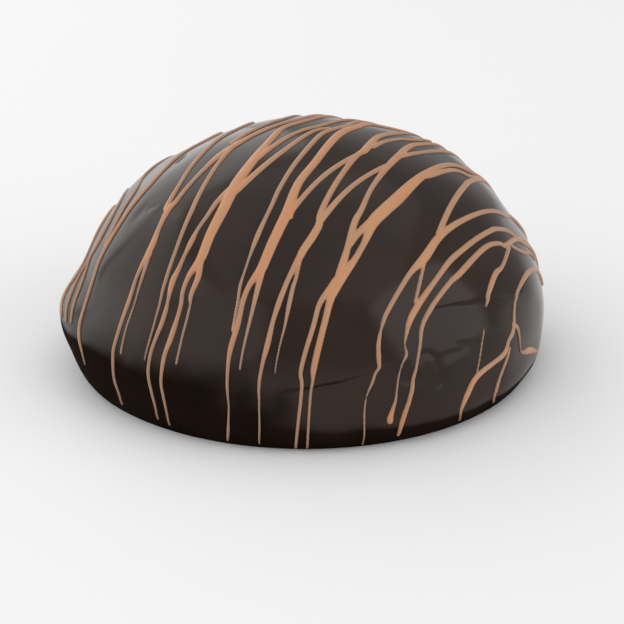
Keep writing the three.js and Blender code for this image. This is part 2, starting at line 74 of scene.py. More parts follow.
STRANDS: dict[str, tuple[Triple, ...]] = {
    "left_outer": (
        (-42, 15, 2.2), (-53, 3, 2.4), (-62, -10, 2.6), (-74, -18.5, 2.8),
        (-84, -26, 2.6), (-91, -31, 2.5), (-95.5, -34.5, 2.5), (-103.5, -38, 2.4),
        (-107, -40.5, 2.4), (-111, -44, 2.3), (-114, -48, 2.3), (-116.5, -52, 1.8),
        (-119, -54, 1.3), (-123, -55, 1.1),
    ),
    "left_outer_join": (
        (-60, 24, 1.8), (-67, 10, 2), (-70, -3, 2), (-78, -13, 2), (-87, -26, 2),
    ),
    "left_rim": (
        (-78, 12, 2), (-81, 2, 2), (-86, -7, 2), (-92, -13, 2.2), (-97, -14, 2.2),
        (-103, -12.5, 2.2), (-110, -12, 2), (-117, -21, 2), (-120, -30, 1.4),
    ),
    "left_rim_inner": (
        (-99, -14, 1.6), (-105, -21, 2), (-112, -27, 2), (-117, -36, 1.4),
    ),
    "left_bulge": (
        (-101, 3, 2), (-111, -2, 2.4), (-118, -2, 2.6), (-122, -9, 2.4),
        (-123, -20, 1.6),
    ),
    "left_shoulder": (
        (-25, 17, 2), (-31, 8, 2.2), (-37.5, -4, 2.4), (-43.5, -15, 2.4),
        (-48, -25, 2.2), (-54, -35.5, 3),
    ),
    "left_fork": (
        (-2, 16, 2), (-8.5, 9, 2.2), (-13.5, 4, 2.4), (-19, -1, 2.6),
        (-25.5, -7.5, 3.2), (-31.5, -13, 3.2), (-38, -21, 2.4), (-44.5, -29, 2.3),
        (-49.3, -34.5, 2.6), (-53, -37, 3.4), (-57.5, -43.5, 2.6), (-62.5, -51, 3.6),
        (-71, -58, 2.2), (-78.5, -65.3, 2.6), (-88, -70.8, 2.3), (-95.5, -74.3, 2.2),
        (-98, -76.3, 2.1), (-102.7, -79.3, 1.9), (-106.3, -82.1, 1.8),
        (-109.2, -85.4, 1.6), (-114.7, -88, 1.3),
    ),
    "left_fork_top": (
        (-8, 20, 2), (-14.5, 11, 2.2), (-21, 3.5, 2.4), (-26.5, -4.5, 2.4),
    ),
    "left_fork_twin": (
        (-63, -53, 2.2), (-68.4, -60, 1.9), (-72, -64.3, 1.3), (-75, -67.8, 1.1),
        (-79.3, -71, 1.2), (-84, -73.8, 1.2), (-92, -79, 1.4),
    ),
    "left_thin": (
        (-27, -10, 2.6), (-32, -19.5, 2.3), (-37.5, -32, 2.3), (-42.4, -42.7, 2.4),
        (-45.5, -48.5, 2.2), (-51, -58.3, 1.9), (-57, -67.3, 2), (-60.4, -72, 1.8),
        (-63, -76, 1.5), (-67.5, -81, 1.3), (-72, -84.7, 1.3), (-80, -90, 1),
    ),
    "left_crossing": (
        (-26.5, -38, 2.6), (-32.6, -44.3, 2.5), (-36.7, -49.4, 2.1), (-41, -54, 1.9),
        (-44.6, -58.7, 2.7), (-48, -63, 2), (-51.4, -67.2, 2.4), (-55.2, -71, 3.1),
        (-58.8, -76.8, 1.9), (-61, -80, 2.4), (-64.5, -83.4, 2.5), (-69.2, -86.4, 2.1),
        (-74.2, -89.3, 2), (-78.2, -92.3, 2), (-81, -94.8, 2), (-83, -97.5, 1.9),
        (-84.9, -101.5, 1.8), (-87.9, -106.5, 1.6), (-92.8, -110.7, 1.3),
    ),
    "left_broad": (
        (7, 24, 2.4), (1, 13, 2.6), (-6.5, 3.5, 2.8), (-9.8, -4, 3.2), (-13, -12, 3.4),
        (-18, -23, 4.4), (-24.5, -36, 5), (-30.2, -48.6, 4.9), (-36.6, -59, 4.5),
        (-41.5, -67.4, 4.3), (-47.3, -71.8, 2.7), (-51.3, -76.6, 2.3),
        (-53.3, -81, 2.3), (-56.2, -84.9, 2.3), (-59.7, -88.4, 2.8), (-62.9, -91, 2.8),
        (-66.6, -93.3, 2.4), (-69.7, -95.6, 2.5), (-74, -99.4, 2), (-77, -102.6, 1.9),
        (-79, -107, 1.8), (-82, -112, 1.6), (-87, -116.8, 1.3),
    ),
    "left_broad_twin": (
        (-41, -66.5, 3), (-43.2, -73.2, 3), (-45, -76, 2.7), (-47.2, -78.5, 2.5),
        (-48.5, -80.5, 2.2), (-49.2, -82.8, 1.3), (-50.5, -85, 1.4),
        (-53.2, -88.8, 1.4), (-59.8, -96.2, 1.3), (-63.8, -100, 1.3),
    ),
    "left_broad_top": (
        (18, 24, 2), (8, 6, 2.2), (1, -1, 2.2), (-5, -7.5, 2.4), (-10, -14, 2.6),
        (-17, -23, 3),
    ),
    "mid_crossing": (
        (11, 2, 2), (5.5, -2, 2.2), (-6.5, -19, 2.6), (-22, -38, 3), (-27, -43, 3),
    ),
    "mid_thin": (
        (23, 26, 2.2), (18, 10, 2.4), (13, 2, 2.4), (8, -5.5, 2.4), (2.5, -18, 2.4),
        (-3, -30, 2.2), (-9, -44, 2.1), (-11.6, -51, 2), (-14.3, -57, 1.9),
        (-18.2, -65, 2.3), (-21.8, -72.7, 1.4), (-24.5, -78.5, 1.3),
        (-26.6, -82.8, 1.6), (-28.5, -88.5, 1.6), (-30.6, -93.4, 1.6), (-32.5, -98, 2),
    ),
    "mid_broad": (
        (34, 28, 2.6), (27, 24, 3), (21.5, 10, 3.4), (16, -1, 3.6), (5.5, -27, 3.4),
        (-1.5, -41, 3.6), (-6, -55, 4.3), (-9.9, -63.6, 4.3), (-12.7, -69, 4.3),
        (-15.2, -74, 4.2), (-18, -78.8, 4), (-22.6, -83.2, 2.6), (-25.9, -88, 2.5),
        (-27.9, -92.3, 2.4), (-30.3, -97, 2.6), (-34.8, -103.3, 2.7),
        (-37.3, -107.6, 2.2), (-39.5, -112, 1.9), (-41.6, -116.5, 1.8),
        (-43.2, -121, 1.4), (-44, -124, 1.3), (-46.2, -128.6, 1.5), (-49, -133.2, 2),
        (-53, -137.6, 1.5),
    ),
    "mid_broad_twin": (
        (-17, -78, 2.8), (-19, -83.5, 2.6), (-24, -95, 1.8), (-33, -112, 1.2),
    ),
    "mid_fork": (
        (44, 27, 2), (37, 14, 2.4), (30, 2, 2.8), (26, -10, 3.2), (23.7, -16.5, 3.2),
        (19.5, -24, 2.5), (7.2, -54, 2.6), (5.7, -61.4, 3.1), (2.7, -67.2, 3.3),
        (-0.6, -72, 3.2), (-2.4, -75.2, 3), (-6.9, -82.6, 2.3), (-9.8, -87.9, 2.4),
        (-12.2, -92.5, 2.5), (-15, -98, 2.2), (-18.3, -105.4, 2.7), (-22, -112, 2),
        (-25.6, -119.3, 1.8), (-28.1, -128.3, 1.3), (-30.3, -136.2, 1.5),
        (-33.6, -143.5, 1.3),
    ),
    "mid_fork_left": ((24, -17, 2.4), (10, -34, 2.4), (-3, -53, 2.4), (-5.3, -58, 2.6)),
    "mid_fork_twin": (
        (-2.4, -76, 2.2), (-4.2, -82.8, 1.8), (-5.6, -86.2, 2), (-7.8, -92.8, 2.1),
        (-10.1, -99.7, 1.4), (-12.7, -105.6, 1.1), (-15.5, -112, 1), (-17, -116, 0.9),
    ),
    "mid_fork_top": (
        (52, 25, 1.8), (45, 14, 2), (38, 5.7, 2), (31.7, -3.5, 2.2), (27, -12, 2.4),
    ),
    "mid_join": (
        (56, 26, 2.2), (50, 15, 2.2), (43.5, 4, 2.6), (39.6, -6, 3), (37.5, -12.5, 3.2),
        (26.2, -40, 2.2), (22, -52.5, 2.4), (19.1, -59.5, 2.8), (16.1, -71.2, 2.8),
        (14.4, -76.8, 3.2), (12.5, -82, 3),
    ),
    "mid_join_left": ((34, -22, 2.4), (19.5, -40.2, 2.3), (5.5, -61, 2.8)),
    "mid_join_top": (
        (62, 24, 2.2), (53, 9, 2.2), (46.3, -2, 2.2), (41, -9.4, 2.4), (37.5, -14, 2.4),
    ),
    "right_broad": (
        (78, 18, 2.4), (70, 9, 2.6), (60.5, 2, 2.6), (48.5, -19, 3.2), (37, -41, 4.8),
        (31.1, -50.4, 4.9), (26, -58.2, 4.6), (23.4, -65.8, 3), (21.3, -70.6, 2.6),
        (18, -76.5, 3), (11, -86, 4.8), (9, -91, 3.3), (6.4, -99.3, 2.9), (1, -115, 3),
        (0, -120, 1.8), (-2, -128, 1.7), (-5, -150, 1.7),
    ),
    "right_broad_twin": (
        (9, -87, 2.8), (4.5, -93, 2.4), (1.5, -101, 2.3), (-5, -116, 2.2),
        (-5.5, -123, 2), (-12, -149, 2),
    ),
    "right_broad_top": (
        (76, 13, 2.2), (68.5, 1, 2.4), (61, -4, 2.4), (50, -20, 2.8), (45, -25, 3),
    ),
    "right_link": (
        (78, 17, 2.4), (68, -5, 2.6), (64.5, -15, 2.5), (58, -35, 2.5),
        (52.5, -54, 2.6),
    ),
    "right_fork": (
        (94, 7, 2), (87, -8, 2.1), (80, -16, 2.2), (67, -34, 2.4), (54, -53, 3),
        (47, -67, 3.6), (41.5, -75.2, 2.4), (37.4, -82.9, 2.2), (32.2, -93.2, 2.1),
        (31, -96.6, 1.9), (30.2, -99.6, 1.4), (29.8, -102.1, 1.9), (29.6, -105.7, 2.3),
        (30.3, -110.4, 2.4), (30.7, -113.2, 1.8), (29.4, -115.5, 1.6),
        (28.3, -119.2, 1.6), (26, -125, 0.9), (26, -132, 1.4), (29, -146, 1.2),
    ),
    "right_fork_twin": ((47, -68, 1.8), (44.2, -86, 1.8)),
    "right_drop": (
        (106, 0, 1.8), (93.6, -16.5, 2.2), (90.2, -18.9, 2.2), (86.2, -22.3, 2.3),
        (82, -27, 2.3), (78.3, -31.5, 2.4), (75.5, -36, 2.4), (64, -54.2, 2.4),
        (58, -63.5, 2.5), (52.5, -74, 2.3), (43.5, -91, 2.9), (41.5, -99.5, 1.7),
        (41.6, -102.9, 1.1), (42.8, -105.6, 1.7), (41.8, -108.6, 1.2), (41, -112, 1.1),
        (40.8, -119.2, 1.4), (40.9, -124.6, 1.9), (40.4, -129.3, 3), (40.3, -131.5, 4),
    ),
    "right_long": (
        (110, 4, 1.8), (99, -12, 2.2), (93, -19, 2.4), (85.5, -34, 2.4),
        (81.5, -37, 2.2), (75, -45, 2.4), (63.5, -65.5, 2.6), (58.5, -73, 2.3),
        (49.2, -91, 2.2), (48.6, -101.5, 1.8), (48.4, -108.3, 1.6), (48.3, -113.1, 2),
        (48.6, -117.5, 2.4), (48.4, -122.5, 2.6), (47.7, -128.2, 3),
        (47.4, -132.7, 2.8), (48.2, -137, 2),
    ),
    "right_long_top": (
        (109, -6, 2), (103, -13, 2), (99.5, -20, 2), (94.5, -26, 2), (89, -30, 2),
    ),
    "right_short": (
        (87.5, -33, 2.2), (84.5, -47, 1.9), (81.2, -54, 2.6), (79, -63.3, 2.6),
        (77.8, -72, 1.2),
    ),
    "right_edge": (
        (114, -10, 2), (108, -19, 2.2), (99, -37, 2.5), (94.5, -56, 1.6),
        (97.5, -68, 2.3), (96, -75, 2), (96, -81, 2.6), (92, -88, 2.4), (84.5, -99, 3),
        (82.4, -106.6, 3.4), (81.5, -111.5, 2.8), (81.9, -115.2, 2),
        (86.4, -118.2, 1.2),
    ),
    "right_hook": (
        (96.5, -67, 2), (100.5, -65, 2.2), (108, -69, 1.1), (112, -67, 1.8),
        (118, -60, 3.2), (130, -46, 1.4),
    ),
    "right_thread": ((79.5, -81, 1.1), (83, -95, 1.2), (84.8, -101, 1.4)),
    "right_stub": (
        (98.2, -76.4, 1.5), (99.2, -80.7, 2), (99.9, -84.9, 1.9), (100.4, -89.3, 1.9),
        (101.3, -93.4, 2.3), (102.5, -97, 1.9), (105.8, -98.1, 1.3),
    ),
    "mid_bridge": ((25.5, -57.5, 3), (20.2, -64.3, 2.8), (17.2, -69, 2.8)),
}
# Route of each strand: u and v on the glaze map, and the width.
"""Hand-chosen route of each strand: u and v on the glaze map, and the width."""

OVER_THE_TOP = (
    "left_bulge", "left_rim", "left_outer_join", "left_outer", "left_shoulder",
    "left_fork_top", "left_fork", "left_broad", "left_broad_top", "mid_thin",
    "mid_broad", "mid_fork", "mid_join", "mid_join_top", "right_broad",
    "right_link", "right_fork", "right_drop", "right_long", "right_edge",
)
"""Strands that run on over the far side, in the order that sways them."""


class Slot(Enum):
    """Names of the record's two material slots, glaze and drizzle."""

    GLAZE = "glaze"
    DRIZZLE = "drizzle"


def eased(value: Array) -> Array:
    """Clip to 0 to 1 and smooth both ends: 3 t squared minus 2 t cubed."""
    clipped = np.clip(value, 0.0, 1.0)
    return clipped * clipped * (3.0 - 2.0 * clipped)


@dataclass(frozen=True)
class Swell:
    """A soft swell or hollow of the whole dome.

    Its middle lies at an azimuth in degrees and an arc from the apex in mm.
    """

    azimuth: float
    arc: float
    azimuth_spread: float
    arc_spread: float
    rise: float

    def at(self, arc: Array, azimuth: Array) -> Array:
        """Rise at a place: a bell curve in the arc times one in the azimuth.

        Args:
            arc: Arc lengths from the apex in mm.
            azimuth: Azimuths in radians.

        Returns:
            The rise along the outward normal in mm.
        """
        turn = azimuth - np.radians(self.azimuth) + np.pi
        turn = np.mod(turn, 2.0 * np.pi) - np.pi
        along = ((arc - self.arc) / self.arc_spread) ** 2
        round_it = (turn / np.radians(self.azimuth_spread)) ** 2
        return self.rise * np.exp(-along - round_it)


@dataclass(frozen=True)
class Dent:
    """A small hollow or bump of the glaze, an oval bell curve on the map.

    It has its middle, both half axes and the heading of the long one.
    """

    u: float
    v: float
    long_way: float
    short_way: float
    heading: float
    rise: float

    def at(self, u: Array, v: Array) -> Array:
        """Rise: exp of minus the squared distance over the squared half axes.

        Args:
            u: Places to the right on the map.
            v: Places to the back on the map.

        Returns:
            The rise in mm.
        """
        turn = np.radians(self.heading)
        along = (u - self.u) * np.cos(turn) + (v - self.v) * np.sin(turn)
        across = (v - self.v) * np.cos(turn) - (u - self.u) * np.sin(turn)
        far = (along / self.long_way) ** 2 + (across / self.short_way) ** 2
        return self.rise * np.exp(-far)


@dataclass(frozen=True)
class Ripple:
    """A faint long wave of the glaze, a sine over the map."""

    length: float
    heading: float
    phase: float
    rise: float

    def at(self, u: Array, v: Array) -> Array:
        """Rise: the sine of the way along the heading over the wave's length.

        Args:
            u: Places to the right on the map.
            v: Places to the back on the map.

        Returns:
            The rise in mm.
        """
        turn = np.radians(self.heading)
        way = u * np.cos(turn) + v * np.sin(turn)
        return self.rise * np.sin(2.0 * np.pi * way / self.length + self.phase)


@dataclass(frozen=True)
class MapLine:
    """A line of straight runs on the glaze map."""

    places: tuple[tuple[float, float], ...]

    def nearest(self, u: Array, v: Array) -> tuple[Array, Array, Array]:
        """Distance to the line, the way along it and how far downhill of it.

        Each run's nearest point is the projection of the place on the run,
        kept between its ends, and the nearest of all runs counts.

        Args:
            u: Places to the right on the map.
            v: Places to the back on the map.

        Returns:
            The distance in mm, the way along from 0 to 1, and 1 where the
            place is downhill of its nearest point or -1 where it is uphill.
        """
        points = np.array(self.places)
        steps = np.linalg.norm(np.diff(points, axis=0), axis=1)
        starts = np.concatenate(([0.0], np.cumsum(steps)))
        best = np.full(u.shape, np.inf)
        along = np.zeros(u.shape)
        side = np.ones(u.shape)
        arc = np.hypot(u, v)
        for index, step in enumerate(steps):
            a, b = points[index], points[index + 1]
            run = (b - a) / step
            way = (u - a[0]) * run[0] + (v - a[1]) * run[1]
            way = np.clip(way, 0.0, step)
            foot_u, foot_v = a[0] + way * run[0], a[1] + way * run[1]
            far = np.hypot(u - foot_u, v - foot_v)
            closer = far < best
            best = np.where(closer, far, best)
            along = np.where(closer, (starts[index] + way) / starts[-1], along)
            below = np.where(arc > np.hypot(foot_u, foot_v), 1.0, -1.0)
            side = np.where(closer, below, side)
        return best, along, side


@dataclass(frozen=True)
class Fold:
    """A sagged fold of the glaze: a swelling that ends in a soft ledge."""

    line: MapLine
    swell: float
    sink: float
    above: float
    below: float
    lip: float
    taper: float = 0.22

    def at(self, u: Array, v: Array) -> Array:
        """Rise across the fold.

        Uphill it is the swell times exp of minus the distance over above,
        downhill minus the sink times exp of minus the distance over below.
        An eased step as wide as the lip joins the two, and both fade out
        over the taper at the line's ends.

        Args:
            u: Places to the right on the map.
            v: Places to the back on the map.

        Returns:
            The rise in mm.
        """
        far, along, side = self.line.nearest(u, v)
        signed = far * side
        uphill = self.swell * np.exp(np.minimum(signed, 0.0) / self.above)
        downhill = self.sink * np.exp(-np.maximum(signed, 0.0) / self.below)
        step = eased(signed / self.lip + 0.5)
        ends = eased(np.minimum(along, 1.0 - along) / self.taper)
        return ends * (uphill * (1.0 - step) - downhill * step)


@dataclass(frozen=True)
class Crease:
    """A groove of the glaze, or a ridge where its rise is positive."""

    line: MapLine
    rise: float
    breadth: float
    taper: float = 0.3

    def at(self, u: Array, v: Array) -> Array:
        """Rise: a bell curve of the distance, faded out at the line's ends.

        Args:
            u: Places to the right on the map.
            v: Places to the back on the map.

        Returns:
            The rise in mm.
        """
        far, along, _ = self.line.nearest(u, v)
        ends = eased(np.minimum(along, 1.0 - along) / self.taper)
        return self.rise * ends * np.exp(-((far / self.breadth) ** 2))


@dataclass(frozen=True)
class GlazeRelief:
    """The small unevenness of the poured glaze over the smooth dome."""

    dents: tuple[Dent, ...] = (
        Dent(-66, -27, 5.5, 3.2, 25, -0.4),
        Dent(-60, -33, 5.0, 2.4, 30, 0.15),
        Dent(-50, 0, 9.0, 6.0, 20, -0.3),
        Dent(-92, -38, 16.0, 9.0, -60, 0.5),
        Dent(46, -122, 16.0, 4.0, 17, 0.7),
        Dent(49, -113, 13.0, 2.6, 17, -0.5),
        Dent(70, -112, 12.0, 7.0, 30, 0.5),
        Dent(20, -132, 20.0, 5.0, 8, 0.45),
        Dent(-20, -108, 22.0, 6.0, 5, 0.5),
        Dent(98, -76, 12.0, 7.0, 40, 0.5),
        Dent(104, -38, 14.0, 6.0, 65, 0.6),
        Dent(60, 75, 18.0, 9.0, -40, 0.6),
        Dent(-50, 96, 20.0, 8.0, 30, 0.6),
        Dent(10, 118, 22.0, 7.0, 0, 0.7),
        Dent(95, 60, 16.0, 7.0, -55, -0.5),
        Dent(-96, 62, 15.0, 7.0, 55, -0.5),
    )
    ripples: tuple[Ripple, ...] = (
        Ripple(61, 20, 0.4, 0.14),
        Ripple(47, 75, 2.1, 0.12),
        Ripple(36, 128, 4.0, 0.08),
        Ripple(27, 50, 1.3, 0.05),
        Ripple(22, 160, 5.2, 0.035),
    )
    folds: tuple[Fold, ...] = (
        Fold(
            MapLine((
                (-22, -124), (0, -122.5), (12, -120.5), (22, -117.5), (29.3, -114.5),
                (36.5, -111), (43.8, -108), (50, -106.3), (52, -105),
            )),
            swell=0.3, sink=0.3, above=6.0, below=4.5, lip=1.8, taper=0.4,
        ),
        Fold(
            MapLine((
                (56.8, -102.5), (59.6, -100.7), (62.9, -98.5), (66.8, -95.9), (71, -93),
            )),
            swell=0.22, sink=0.25, above=5.0, below=4.0, lip=1.2,
        ),
        Fold(
            MapLine((
                (63.9, -94.4), (69, -91.7), (74.4, -89.1), (78.6, -86), (83.6, -80.8),
                (92, -72),
            )),
            swell=0.15, sink=0.2, above=4.0, below=4.0, lip=2.6,
        ),
        Fold(
            MapLine((
                (42, -90), (50, -87), (70, -75), (85, -62), (93, -55), (100, -45),
            )),
            swell=-0.35, sink=-0.4, above=7.0, below=8.0, lip=2.5,
        ),
        Fold(
            MapLine(((-50, -81), (-42, -84), (-36, -86), (-30, -88))),
            swell=0.18, sink=0.3, above=3.5, below=3.0, lip=1.6,
        ),
        Fold(
            MapLine((
                (-86, 96), (-60, 112), (-30, 120), (0, 121), (24, 117), (40, 112),
            )),
            swell=0.35, sink=0.3, above=6.0, below=4.5, lip=2.2, taper=0.35,
        ),
        Fold(
            MapLine(((88, 82), (104, 60), (114, 36), (118, 10))),
            swell=0.3, sink=0.3, above=6.0, below=4.5, lip=2.2, taper=0.35,
        ),
    )
    creases: tuple[Crease, ...] = (
        Crease(
            MapLine((
                (50.1, -105.8), (51.2, -103.8), (52.9, -102.4), (55, -102.2),
                (57.1, -102.8), (58.3, -103.5), (59.8, -105.3), (61, -107),
            )),
            rise=-0.5, breadth=1.2,
        ),
        Crease(
            MapLine((
                (57.5, -103), (59.8, -105.3), (62, -107.7), (63.5, -110.4),
                (64.5, -113),
            )),
            rise=-0.4, breadth=1.8,
        ),
        Crease(
            MapLine(((65.4, -110.1), (61.2, -112.6), (57, -114.4), (52.4, -115.1))),
            rise=-0.3, breadth=1.8,
        ),
        Crease(
            MapLine((
                (39.8, -122), (45.3, -121.5), (51.9, -120), (58.5, -117.7),
                (64.8, -114.2),
            )),
            rise=-0.4, breadth=2.2,
        ),
        Crease(
            MapLine((
                (61.5, -107.5), (66.3, -103.7), (69.8, -99.8), (74.8, -95.8),
                (81.5, -91.5),
            )),
            rise=0.35, breadth=3.0,
        ),
        Crease(
            MapLine(((-64, -30), (-61, -28.5), (-57, -31))), rise=-0.22, breadth=1.2
        ),
        Crease(MapLine(((-46, 4), (-48, 1), (-51, -2))), rise=-0.4, breadth=0.9),
        Crease(
            MapLine(((45, -112), (51, -110.5), (55, -110))), rise=0.35, breadth=3.5
        ),
    )
    fade: float = 5.0

    def at(self, u: Array, v: Array, total: float) -> Array:
        """Rise of all features together, faded out towards the foot.

        Args:
            u: Places to the right on the map.
            v: Places to the back on the map.
            total: Arc from the apex to the foot in mm.

        Returns:
            The rise in mm.
        """
        rise = np.zeros(np.shape(u))
        for group in (self.dents, self.ripples, self.folds, self.creases):
            for feature in group:
                rise = rise + feature.at(u, v)
        return rise * eased((total - np.hypot(u, v)) / self.fade)


@dataclass
class DomeShape:
    """The dome: its outline turned round the axis, with swells and a lean."""

    height: float = 92.5
    belly_radius: float = 91.0
    belly_height: float = 21.0
    foot_radius: float = 85.4
    round_out: float = 1.95
    round_up: float = 2.04
    tuck: float = 2.6
    top_lean: float = -2.5
    level_height: float = 7.0
    upper_steps: int = 2000
    lower_steps: int = 500
    slope_step: float = 0.35
    swells: tuple[Swell, ...] = (
        Swell(180, 127, 32, 12, 7.4),
        Swell(184, 148, 32, 11, 4.8),
        Swell(298, 143, 38, 7.5, 2.4),
        Swell(180, 104, 25, 10, -0.6),
        Swell(176, 85, 25, 12, -0.9),
        Swell(150, 55, 30, 18, -1.3),
        Swell(2, 93, 30, 10, -1.2),
        Swell(24, 58, 18, 16, 0.9),
    )
    relief: GlazeRelief = GlazeRelief()

    def __post_init__(self) -> None:
        """Work out the outline from the apex to the foot and its arc lengths.

        Above the belly the radius is the belly radius times sin(t) to the
        power 2 / round_out, and the height rises from the belly's by cos(t)
        to the power 2 / round_up. Below it the radius falls to the foot's
        with the power tuck of the way down.
        """
        turn = np.linspace(0.0, np.pi / 2.0, self.upper_steps)
        rise = self.height - self.belly_height
        upper_r = self.belly_radius * np.sin(turn) ** (2.0 / self.round_out)
        upper_z = np.clip(np.cos(turn), 0.0, 1.0) ** (2.0 / self.round_up)
        upper_z = self.belly_height + rise * upper_z
        lower_z = np.linspace(self.belly_height, 0.0, self.lower_steps)
        down = 1.0 - lower_z[1:] / self.belly_height
        lower_r = self.belly_radius - self.belly_drop * down**self.tuck
        self._radius = np.concatenate((upper_r, lower_r))
        self._level = np.concatenate((upper_z, lower_z[1:]))
        steps = np.hypot(np.diff(self._radius), np.diff(self._level))
        self._arc = np.concatenate(([0.0], np.cumsum(steps)))

    @property
    def belly_drop(self) -> float:
        """How much narrower the foot is than the belly, in radius."""
        return self.belly_radius - self.foot_radius

    @property
    def total(self) -> float:
        """Arc length from the apex to the foot."""
        return float(self._arc[-1])

    def point(self, u: Array, v: Array) -> Array:
        """Places of the smooth dome: outline, swells along its normal, lean.

        Args:
            u: Places to the right on the map.
            v: Places to the back on the map.

        Returns:
            An array of x, y and z in mm.
        """
        arc, azimuth = np.hypot(u, v), np.arctan2(v, u)
        radius = np.interp(arc, self._arc, self._radius)
        z = np.interp(arc, self._arc, self._level)
        x, y = radius * np.cos(azimuth), radius * np.sin(azimuth)
        out = np.stack([x, y, np.maximum(z - self.belly_height, 0.0)], axis=-1)
        out = out / (np.linalg.norm(out, axis=-1, keepdims=True) + TINY)
        swell = sum(one.at(arc, azimuth) for one in self.swells)
        place = np.stack([x, y, z], axis=-1) + out * swell[..., None]
        above = place[..., 2] - self.belly_height
        above = above / (self.height - self.belly_height)
        place[..., 0] += self.top_lean * np.clip(above, 0.0, 1.0)
        return place

    def outward(self, u: Array, v: Array) -> Array:
        """Unit normals, from the cross product of the two ways of the map.

        Close to the foot they lean level, so nothing is pushed under it.

        Args:
            u: Places to the right on the map.
            v: Places to the back on the map.

        Returns:
            An array of unit vectors.
        """
        step = self.slope_step
        right = self.point(u + step, v) - self.point(u - step, v)
        back = self.point(u, v + step) - self.point(u, v - step)
        normal = np.cross(right, back)
        normal /= np.linalg.norm(normal, axis=-1, keepdims=True) + TINY
        level = np.clip(self.point(u, v)[..., 2] / self.level_height, 0.0, 1.0)
        normal[..., 2] *= level
        return normal / np.linalg.norm(normal, axis=-1, keepdims=True)

    def skin(self, u: Array, v: Array, lift: Array | float = 0.0) -> Array:
        """Places on the glaze with its relief, raised by a lift.

        Args:
            u: Places to the right on the map.
            v: Places to the back on the map.
            lift: Height over the glaze in mm.

        Returns:
            An array of x, y and z in mm.
        """
        rise = self.relief.at(u, v, self.total) + lift
        return self.point(u, v) + self.outward(u, v) * rise[..., None]


@dataclass
class MeshPiece:
    """A finished surface, ready to become a Blender object."""

    name: str
    places: Array
    faces: Array
    smooth: Array
    values: dict[str, Array]

    def build(self, slot: Slot, material: bpy.types.Material) -> None:
        """Make the object at the origin, with its place in its mesh.

        It rides on the cake's body in place of the cake's node.

        Args:
            slot: Not used.
            material: Its material.
        """
        mesh = bpy.data.meshes.new(self.name)
        rows, sides = self.faces.shape
        mesh.vertices.add(len(self.places))
        mesh.vertices.foreach_set("co", (self.places * METRES).ravel())
        mesh.loops.add(rows * sides)
        mesh.loops.foreach_set("vertex_index", self.faces.ravel())
        mesh.polygons.add(rows)
        mesh.polygons.foreach_set("loop_start", np.arange(rows) * sides)
        mesh.polygons.foreach_set("use_smooth", self.smooth)
        mesh.update(calc_edges=True)
        mesh.validate()
        for name, value in self.values.items():
            layer = mesh.attributes.new(name, "FLOAT", "POINT")
            layer.data.foreach_set("value", value.astype(np.float32))
        mesh.materials.append(material)
        piece = bpy.data.objects.new(self.name, mesh)
        bpy.context.scene.collection.objects.link(piece)
        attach(piece, BODY)
        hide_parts(CAKE_NODE)
        LOG.info("%s: %d faces", self.name, rows)


@dataclass
class GlazeCoat:
    """The glazed body of the cake, closed under its foot."""

    dome: DomeShape
    rings: int = 236
    spokes: int = 408
    crowding: float = 1.25
    under_rings: int = 5

    def surface(self) -> MeshPiece:
        """A grid of arc and azimuth over the dome, and a flat floor under it.

        Ring n lies at the total arc times 1 - (1 - n / rings) to the power
        crowding, which sets the rings closer towards the foot.

        Returns:
            The closed surface.
        """
        step = np.arange(1, self.rings + 1) / self.rings
        arc = self.dome.total * (1.0 - (1.0 - step) ** self.crowding)
        turn = np.arange(self.spokes) * 2.0 * np.pi / self.spokes
        u = np.outer(arc, np.cos(turn))
        v = np.outer(arc, np.sin(turn))
        skin = self.dome.skin(u, v)
        skin[-1, :, 2] = 0.0
        skin[..., 2] = np.maximum(skin[..., 2], 0.0)
        inward = 1.0 - np.arange(1, self.under_rings) / self.under_rings
        under = skin[-1][None] * inward[:, None, None]
        apex = self.dome.skin(np.zeros(1), np.zeros(1))
        places = np.concatenate(
            (apex, skin.reshape(-1, 3), under.reshape(-1, 3), np.zeros((1, 3)))
        )
        faces = self._faces(self.rings + self.under_rings - 1)
        smooth = np.ones(len(faces), dtype=bool)
        smooth[self._upper_faces():] = False
        return MeshPiece("glazed_cake", places, faces, smooth, {})

    def _upper_faces(self) -> int:
        """Count of the faces that come before the flat floor's."""
        return self.spokes * (2 * (self.rings - 1) + 1)

    def _faces(self, rings: int) -> Array:
        """Triangles: a fan at the apex, two per grid cell, a fan below.

        Args:
            rings: Count of rings between the two middle points.

        Returns:
            An array of vertex numbers, three a face.
        """
        here = np.arange(self.spokes)
        after = (here + 1) % self.spokes
        first = np.stack([np.zeros_like(here), 1 + here, 1 + after], axis=1)
        base = 1 + self.spokes * np.arange(rings - 1)[:, None]
        a, b = base + here, base + after
        c, d = a + self.spokes, b + self.spokes
        cells = np.stack([a, c, d, a, d, b], axis=-1).reshape(-1, 3)
        start = 1 + self.spokes * (rings - 1)
        middle = np.full_like(here, start + self.spokes)
        last = np.stack([start + here, middle, start + after], axis=1)
        return np.concatenate((first, cells, last))


